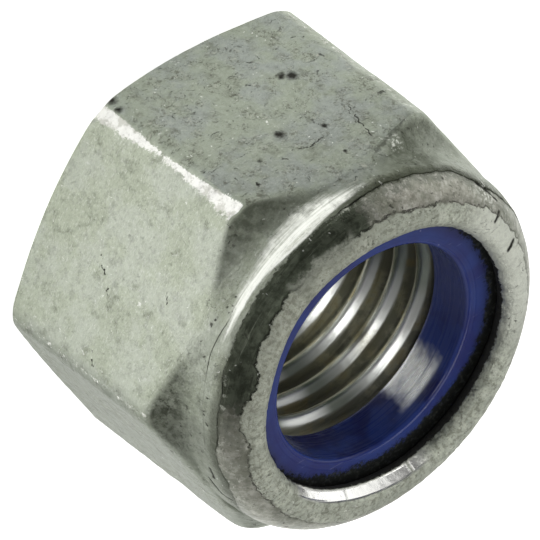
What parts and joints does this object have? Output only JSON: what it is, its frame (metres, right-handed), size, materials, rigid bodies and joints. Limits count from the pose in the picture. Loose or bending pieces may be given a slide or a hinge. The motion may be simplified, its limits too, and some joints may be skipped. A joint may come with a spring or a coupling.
{
  "type": "nylon insert lock nut",
  "caption": "Hexagon lock nut: plated steel body whose collar is rolled over a nylon locking ring, above a right-hand M20 thread.",
  "frame": {"origin": "centre of the bearing face, on the thread axis", "axes": "+Z along the thread axis from the bearing face to the rolled collar; -Y is the outward normal of one wrench flat; +X points at the upright edge between two flats"},
  "size_m": [0.034, 0.03, 0.0228],
  "materials": {
    "plated_steel": "dull grey zinc plating with pits, scratches and flaked patches on the roll",
    "nylon": "dark blue, satin, lightly scratched and dusty"
  },
  "bodies": {
    "root": {"nut_body": "plated_steel", "locking_ring": "nylon"}
  },
  "joints": []
}
